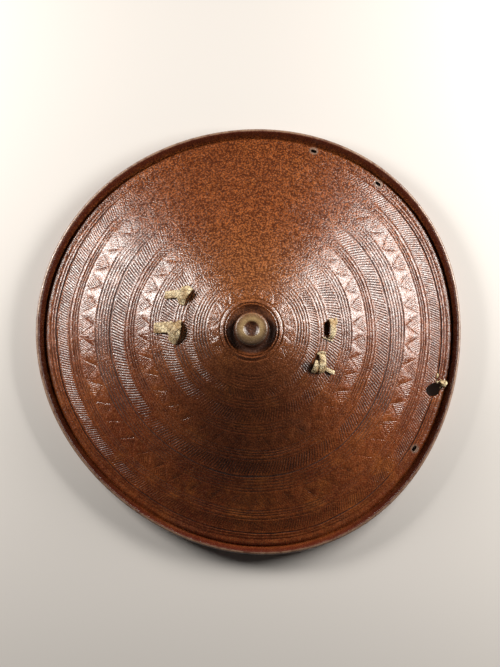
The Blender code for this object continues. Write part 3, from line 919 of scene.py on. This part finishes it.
# The strips of each knot, each as its thickness in millimetres and its stops
KNOTS = {
    "thong_upper_left": (
        (2.4, ((-2.5, -11.0, 0.9, 9.5, 0), (-0.5, -6.0, 4.6, 11.0, 6), (3.0, 0.0, 7.4, 12.0, -4),
               (7.0, 7.0, 6.6, 12.0, 8), (9.5, 11.5, 1.2, 9.5, 14))),
        (2.0, ((5.0, -1.0, 3.0, 9.0, -20), (-2.0, 2.0, 5.0, 9.5, -6), (-9.0, 2.6, 3.6, 10.0, 0),
               (-16.0, 2.6, 2.0, 10.5, 4), (-24.5, 2.6, 1.9, 10.5, -3))),
        (1.1, ((-4.0, 6.4, 1.1, 6.0, 0), (-14.0, 6.0, 0.9, 6.0, 0), (-24.0, 5.4, 0.8, 6.0, 0))),
        (1.6, ((5.5, -3.5, 6.2, 3.0, 30), (9.0, 1.0, 7.6, 3.4, 10), (12.5, 6.0, 6.2, 3.2, -10))),
        (2.0, ((-6.5, -5.0, 1.4, 4.0, 20), (-3.5, 0.0, 5.6, 4.6, 10), (1.0, 8.5, 6.0, 4.6, 0),
               (3.0, 13.0, 2.2, 4.0, 0))),
    ),
    "thong_lower_left": (
        (2.5, ((-4.5, -11.5, 1.0, 11.0, 10), (-1.0, -6.0, 5.6, 13.5, 12), (2.5, 1.0, 7.8, 14.0, 4),
               (4.0, 9.0, 6.4, 13.0, -8), (3.0, 16.5, 1.0, 12.0, -10))),
        (2.2, ((3.0, 8.6, 3.2, 12.0, 10), (-4.0, 9.0, 5.0, 13.5, 0), (-11.0, 9.2, 3.6, 14.5, 0),
               (-19.0, 9.2, 2.1, 14.8, -3), (-29.0, 9.0, 2.0, 14.5, 2))),
        (2.1, ((-7.5, -7.0, 2.4, 5.0, 24), (-1.5, -0.5, 8.0, 5.6, 10), (5.5, 6.0, 9.0, 5.4, 0),
               (9.5, 10.0, 6.4, 4.4, -14))),
        (1.8, ((-5.6, 17.0, 1.2, 4.6, 0), (-6.0, 11.0, 5.6, 5.4, 0), (-6.0, 3.0, 5.8, 5.4, 0),
               (-6.4, -3.0, 2.8, 4.6, 0))),
    ),
    "thong_upper_right": (
        (2.3, ((-2.4, -13.0, 1.0, 7.0, 0), (-2.0, -9.0, 5.2, 8.0, 6), (-1.6, -1.0, 6.8, 8.6, -4),
               (-1.8, 8.0, 5.4, 8.6, 4), (-2.2, 13.0, 1.0, 7.4, 0))),
        (2.0, ((0.6, 4.0, 1.4, 5.5, 0), (2.4, 7.5, 4.0, 6.5, 20), (3.6, 11.0, 3.4, 6.5, 30),
               (4.6, 14.0, 1.0, 5.0, 30))),
        (0.9, ((-13.5, -11.0, 0.7, 1.3, 0), (-8.0, -13.6, 1.4, 1.6, 0), (-1.0, -15.6, 1.8, 1.5, 0),
               (2.5, -14.6, 0.8, 1.2, 0))),
    ),
    "thong_lower_right": (
        (2.3, ((0.4, -12.5, 1.0, 8.5, 0), (0.2, -8.5, 5.6, 9.8, 4), (0.6, 0.0, 7.4, 10.0, -6),
               (1.2, 7.5, 5.8, 9.4, 4), (1.4, 11.5, 1.0, 8.0, 0))),
        (2.2, ((-9.6, -12.4, 1.0, 6.0, 0), (-8.2, -8.4, 4.4, 7.6, -6), (-6.4, -2.0, 5.4, 8.0, 6),
               (-4.6, 3.5, 3.6, 7.0, 0))),
        (1.5, ((1.0, -4.0, 2.0, 4.6, 0), (7.0, -7.4, 1.6, 4.8, 12), (13.0, -9.8, 2.2, 5.6, -14),
               (18.0, -11.8, 3.4, 6.4, -34))),
        (1.2, ((-4.5, 11.5, 1.4, 2.6, 0), (0.0, 14.2, 3.0, 3.4, 10), (4.4, 13.4, 3.0, 3.2, 20),
               (6.0, 10.5, 1.4, 2.4, 30))),
    ),
    "rim_thong": (
        (2.0, ((1.6, -6.0, 1.6, 4.0, 8), (4.0, -8.8, 5.2, 5.6, -10), (6.6, -12.2, 4.8, 5.2, 6),
               (7.6, -14.4, 2.6, 4.0, 12))),
        (1.9, ((2.6, -13.0, 3.0, 3.8, 10), (5.4, -11.2, 6.0, 5.0, -12), (8.6, -9.4, 5.6, 5.0, 10),
               (10.4, -8.4, 3.4, 3.8, 0))),
        (1.4, ((1.8, -8.4, 3.2, 3.0, 0), (5.0, -7.2, 5.0, 3.8, 14), (8.0, -6.6, 4.2, 3.4, -8))),
        (0.8, ((4.2, -8.4, 3.0, 1.4, 0), (-0.6, -8.0, 1.7, 1.3, 0), (-5.2, -6.9, 0.8, 1.0, 0))),
        (0.8, ((4.6, -9.8, 2.6, 1.4, 0), (0.6, -9.9, 1.2, 1.2, 0), (-2.6, -9.2, 0.6, 1.0, 0))),
        (0.9, ((3.4, -12.0, 2.2, 1.6, 0), (2.4, -14.4, 1.6, 1.5, 0), (1.8, -16.6, 0.8, 1.2, 0))),
    ),
}


def make_thong(name, mat):
    """Knot before the hide, shank through it and stop knot behind, as one object."""
    x, y, degrees = THONG_SPOTS[name]
    parts = [strip((x, y), stops, thick, 3.0 * n) for n, (thick, stops) in enumerate(KNOTS[name])]
    at = turned(surface_frame(x, y), degrees)
    backing, shank_top = (0.0, 0.0006) if name == "rim_thong" else (GRIP_SEAT_GAP + PAD_THICKNESS, 0.0035)
    behind = HIDE_THICKNESS + backing + STOP_GAP
    parts.append(prism(stadium(SHANK_WIDTH, SHANK_THICKNESS), -behind - 0.001, shank_top, at))
    parts.append(stop_knot(at, behind, x * 90.0))
    all_places, all_faces = [], []
    for places, faces in parts:
        shift = len(all_places)
        all_places += places
        all_faces += [tuple(k + shift for k in face) for face in faces]
    obj = mesh_object("rawhide_" + name, all_places, all_faces)
    mod = obj.modifiers.new("smooth", "SUBSURF")
    mod.levels = mod.render_levels = 1
    obj.data.shade_smooth()
    obj.data.set_sharp_from_angle(angle=SHARP_EDGE)
    finish_piece(obj, mat, name)


# Node materials

class Nodes:
    """Short calls for one material's nodes."""

    def __init__(self, name):
        self.mat = bpy.data.materials.new(name)
        self.mat.use_nodes = True
        self.tree = self.mat.node_tree
        self.shader = self.tree.nodes["Principled BSDF"]
        self.coords = self.new("TexCoord").outputs["Object"]

    def new(self, kind):
        return self.tree.nodes.new("ShaderNode" + kind)

    def link(self, value, socket):
        if isinstance(value, bpy.types.NodeSocket):
            self.tree.links.new(value, socket)
        elif isinstance(value, tuple) and len(value) == 3 and socket.type == "RGBA":
            socket.default_value = (*value, 1.0)
        else:
            socket.default_value = value

    def noise(self, scale, detail, rough, offset=0.0):
        node = self.new("TexNoise")
        node.inputs["Scale"].default_value = scale
        node.inputs["Detail"].default_value = detail
        node.inputs["Roughness"].default_value = rough
        mapping = self.new("Mapping")
        mapping.inputs["Location"].default_value = (offset, offset * 0.7, offset * 0.3)
        self.link(self.coords, mapping.inputs["Vector"])
        self.link(mapping.outputs["Vector"], node.inputs["Vector"])
        return node.outputs["Fac"]

    def cells(self, scale, feature="F1"):
        node = self.new("TexVoronoi")
        node.feature = feature
        node.inputs["Scale"].default_value = scale
        self.link(self.coords, node.inputs["Vector"])
        return node.outputs["Distance"]

    def attribute(self, name):
        node = self.new("Attribute")
        node.attribute_name = name
        return node.outputs["Fac"]

    def math(self, operation, a, b):
        node = self.new("Math")
        node.operation = operation
        self.link(a, node.inputs[0])
        self.link(b, node.inputs[1])
        return node.outputs["Value"]

    def times(self, a, b):
        return self.math("MULTIPLY", a, b)

    def plus(self, a, b):
        return self.math("ADD", a, b)

    def span(self, value, low, high, to_low=0.0, to_high=1.0):
        node = self.new("MapRange")
        node.interpolation_type = "SMOOTHSTEP"
        self.link(value, node.inputs["Value"])
        for name, number in zip(("From Min", "From Max", "To Min", "To Max"), (low, high, to_low, to_high)):
            node.inputs[name].default_value = number
        return node.outputs["Result"]

    def mix(self, share, a, b):
        node = self.new("Mix")
        node.data_type = "RGBA"
        self.link(share, node.inputs["Factor"])
        self.link(a, node.inputs["A"])
        self.link(b, node.inputs["B"])
        return [out for out in node.outputs if out.type == "RGBA"][0]

    def distance(self, spot):
        node = self.new("VectorMath")
        node.operation = "DISTANCE"
        self.link(self.coords, node.inputs[0])
        node.inputs[1].default_value = tuple(spot)
        return node.outputs["Value"]

    def part(self, axis):
        node = self.new("SeparateXYZ")
        self.link(self.coords, node.inputs["Vector"])
        return node.outputs[axis]

    def finish(self, color, rough, height, strength, reach):
        self.link(color, self.shader.inputs["Base Color"])
        self.link(rough, self.shader.inputs["Roughness"])
        bump = self.new("Bump")
        bump.inputs["Strength"].default_value = strength
        bump.inputs["Distance"].default_value = reach
        self.link(height, bump.inputs["Height"])
        self.link(bump.outputs["Normal"], self.shader.inputs["Normal"])
        return self.mat


# The hide's colours: first two that make its ground, then those that lie over it. Some of those are painted
# light or shade: the lighter top, the light round the boss, the dark spots below the boss and beside the
# lower right knot, the darkened cuts, the knob's shadow in the moat and the knob's darker lower side.
HIDE_COLORS = {
    "deep": (0.155, 0.024, 0.0055),
    "red": (0.270, 0.060, 0.012),
    "orange": (0.40, 0.115, 0.020),
    "grey": (0.125, 0.046, 0.034),
    # Painted light: the upper half of the hide made lighter and warmer, as if lit from above.
    "painted_top_light": (0.42, 0.120, 0.024),
    "mottle": (0.075, 0.012, 0.004),
    "grain": (0.46, 0.17, 0.050),
    # Painted light round the boss on the upper side.
    "painted_crown_light": (0.47, 0.185, 0.062),
    # Painted shade below the boss and a painted shadow beside the lower right knot.
    "painted_shade": (0.030, 0.012, 0.006),
    "pit": (0.040, 0.008, 0.003),
    "dot": (0.050, 0.012, 0.004),
    # Painted shade in the cut grooves.
    "cut": (0.024, 0.005, 0.002),
    "lip": (0.060, 0.009, 0.006),
    "worn_lip": (0.30, 0.190, 0.125),
    # Painted shadow of the knob in the moat.
    "painted_moat_shadow": (0.028, 0.011, 0.007),
    "knob": (0.46, 0.310, 0.140),
    # Painted shade on the knob's lower side.
    "knob_shade": (0.035, 0.016, 0.006),
    "scuff": (0.22, 0.155, 0.115),
}


def hide_material():
    """Polished hide. It reads how deep a point is cut, in millimetres, and its mark: above 0 on the
    lip and below 0 on the knob."""
    nodes = Nodes("polished_hide")
    broad = nodes.noise(9.0, 5.0, 0.6)
    patches = nodes.noise(24.0, 5.0, 0.6, offset=3.0)
    dull = nodes.noise(15.0, 4.0, 0.6, offset=19.0)
    mottle = nodes.noise(95.0, 6.0, 0.65, offset=7.0)
    grain = nodes.noise(560.0, 4.0, 0.6, offset=11.0)
    dots = nodes.span(nodes.noise(300.0, 3.0, 0.7, offset=29.0), 0.50, 0.66)
    pits = nodes.span(nodes.cells(430.0), 0.28, 0.66)
    cut, mark, north = nodes.attribute("cut"), nodes.attribute("mark"), nodes.part("Y")
    upper = nodes.span(north, -0.16, 0.16)
    speckle = nodes.plus(nodes.times(upper, 0.50), 0.32)
    # Painted light: lighter near the boss, kept to the upper half by the layer below.
    painted_crown_light = nodes.span(nodes.distance((AXIS_X, AXIS_Y, field_height(BOSS_RADIUS))), 0.05, 0.19, 0.55, 0.0)
    layers = [
        (nodes.span(patches, 0.50, 0.70, 0.0, 0.6), "orange"),
        (nodes.span(dull, 0.55, 0.72, 0.0, 0.5), "grey"),
        # Painted light: lighter and warmer towards the top.
        (nodes.times(upper, 0.50), "painted_top_light"),
        (nodes.span(mottle, 0.38, 0.62, 0.55, 0.0), "mottle"),
        (nodes.span(grain, 0.42, 0.62, 0.0, 0.32), "grain"),
        (nodes.times(painted_crown_light, upper), "painted_crown_light"),
    ]
    # Painted shade: darker below the boss, and a painted shadow beside the lower right knot.
    for x, y, inner, outer, strength in PAINTED_SHADE_SPOTS:
        layers.append((nodes.span(nodes.distance(over(x, y, 0.0)[0]), inner, outer, strength, 0.0), "painted_shade"))
    moat_floor = Vector((AXIS_X, AXIS_Y, field_height(BOSS_RADIUS) - MOAT_DEPTH))
    knob_top = Vector((AXIS_X, AXIS_Y, field_height(BOSS_RADIUS) + KNOB_HEIGHT))
    boss = nodes.span(nodes.distance(moat_floor), 0.0285, 0.0335, 1.0, 0.0)
    worn_lip = nodes.times(nodes.span(mark, 0.72, 0.98), nodes.span(mottle, 0.30, 0.55, 0.25, 0.9))
    knob = nodes.times(nodes.span(mark, -0.35, -0.9), nodes.span(mottle, 0.25, 0.6, 0.5, 0.9))
    knob_edge = nodes.span(nodes.distance(knob_top), 0.0135, 0.0185, 1.0, 0.35)
    layers += [
        (nodes.times(pits, speckle), "pit"),
        (nodes.times(dots, speckle), "dot"),
        # Painted shade: the cuts darker the deeper they go.
        (nodes.span(cut, 0.34, 0.78, 0.0, 0.85), "cut"),
        (nodes.times(nodes.span(mark, 0.05, 0.55), 0.80), "lip"),
        (worn_lip, "worn_lip"),
        # Painted shadow of the knob in the moat, darker on its lower side.
        (nodes.times(boss, nodes.span(north, -0.006, 0.026, 0.75, 0.30)), "painted_moat_shadow"),
        (nodes.times(knob, knob_edge), "knob"),
        # Painted shade: the knob darker on its lower side.
        (nodes.times(nodes.span(north, 0.010, -0.016), nodes.span(mark, 0.0, -0.4, 0.0, 0.75)), "knob_shade"),
    ]
    for spot in rim_hole_spots():
        layers.append((nodes.times(nodes.span(nodes.distance(spot), 0.0045, 0.0078, 1.0, 0.0), 0.7), "scuff"))
    color = nodes.mix(nodes.span(broad, 0.36, 0.64), HIDE_COLORS["deep"], HIDE_COLORS["red"])
    for share, name in layers:
        color = nodes.mix(share, color, HIDE_COLORS[name])
    rough = nodes.plus(nodes.span(mottle, 0.3, 0.7, 0.17, 0.26), nodes.span(cut, 0.34, 0.78, 0.0, 0.28))
    rough = nodes.plus(rough, nodes.span(grain, 0.36, 0.62, 0.0, 0.08))
    rough = nodes.plus(rough, nodes.times(boss, 0.12))
    height = nodes.math("SUBTRACT", nodes.times(mottle, 0.9), nodes.times(pits, 0.5))
    height = nodes.plus(height, nodes.times(grain, 0.7))
    nodes.shader.inputs["Specular IOR Level"].default_value = 0.86
    nodes.shader.inputs["Coat Weight"].default_value = 0.10
    nodes.shader.inputs["Coat Roughness"].default_value = 0.22
    return nodes.finish(color, rough, height, 0.52, 0.0006)


def rawhide_material():
    nodes = Nodes("dry_rawhide")
    broad = nodes.noise(90.0, 4.0, 0.6)
    fine = nodes.noise(520.0, 5.0, 0.65, offset=5.0)
    color = nodes.mix(nodes.span(broad, 0.36, 0.62), (0.46, 0.30, 0.13), (0.95, 0.80, 0.50))
    color = nodes.mix(nodes.span(fine, 0.38, 0.54, 0.60, 0.0), color, (0.13, 0.060, 0.020))
    cracks = nodes.span(nodes.cells(200.0, "DISTANCE_TO_EDGE"), 0.0, 0.10, 1.0, 0.0)
    color = nodes.mix(nodes.times(cracks, 0.65), color, (0.05, 0.024, 0.010))
    rough = nodes.span(fine, 0.3, 0.7, 0.42, 0.68)
    height = nodes.math("SUBTRACT", nodes.plus(fine, nodes.times(broad, 0.8)), nodes.times(cracks, 0.5))
    return nodes.finish(color, rough, height, 0.9, 0.0010)


def grip_material():
    nodes = Nodes("handled_leather")
    broad = nodes.noise(40.0, 4.0, 0.6)
    fine = nodes.noise(380.0, 5.0, 0.65, offset=5.0)
    color = nodes.mix(nodes.span(broad, 0.35, 0.65), (0.060, 0.026, 0.014), (0.15, 0.066, 0.034))
    color = nodes.mix(nodes.span(fine, 0.45, 0.65, 0.0, 0.4), color, (0.22, 0.12, 0.07))
    rough = nodes.span(broad, 0.3, 0.7, 0.42, 0.62)
    height = nodes.plus(nodes.span(nodes.cells(380.0), 0.0, 0.4), fine)
    return nodes.finish(color, rough, height, 0.5, 0.0006)


# Floor, light and camera

def area_light(name, stand, target, size, power):
    data = bpy.data.lights.new(name, "AREA")
    data.shape = "RECTANGLE"
    data.size, data.size_y = size
    data.energy = power
    data.color = WARM_WHITE
    light = add_object(name, data)
    light.location = stand
    light.rotation_euler = (Vector(stand) - Vector(target)).to_track_quat("Z", "Y").to_euler()


def make_stage():
    bpy.ops.mesh.primitive_plane_add(size=FLOOR_SIZE)
    floor = bpy.context.object
    floor.name = "floor"
    nodes = Nodes("pale_floor")
    nodes.shader.inputs["Base Color"].default_value = (0.66, 0.64, 0.61, 1.0)
    nodes.shader.inputs["Roughness"].default_value = 0.85
    floor.data.materials.append(nodes.mat)
    world = bpy.data.worlds.new("studio")
    world.use_nodes = True
    background = world.node_tree.nodes["Background"]
    background.inputs["Color"].default_value = (1.0, 0.98, 0.95, 1.0)
    background.inputs["Strength"].default_value = AMBIENT_STRENGTH
    bpy.context.scene.world = world
    bpy.context.scene.view_settings.view_transform = "Standard"
    for values in LIGHTS:
        area_light(*values)


def make_camera():
    toward = Vector((0.0, -math.sin(CAMERA_TILT), math.cos(CAMERA_TILT)))
    data = bpy.data.cameras.new("camera")
    data.sensor_width = SENSOR_WIDTH
    data.lens = FOCAL_PIXELS * SENSOR_WIDTH / PICTURE_HEIGHT
    camera = add_object("camera", data)
    camera.location = Vector(CAMERA_TARGET) + toward * CAMERA_DISTANCE
    camera.rotation_euler = toward.to_track_quat("Z", "Y").to_euler()
    bpy.context.scene.camera = camera


make_camera()
make_stage()
hide_mat, rawhide_mat, grip_mat = hide_material(), rawhide_material(), grip_material()
make_hide(hide_mat)
for thong_name in THONG_SPOTS:
    make_thong(thong_name, rawhide_mat)
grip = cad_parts["hand_grip"]
for material_slot in grip.material_slots:
    material_slot.material = grip_mat
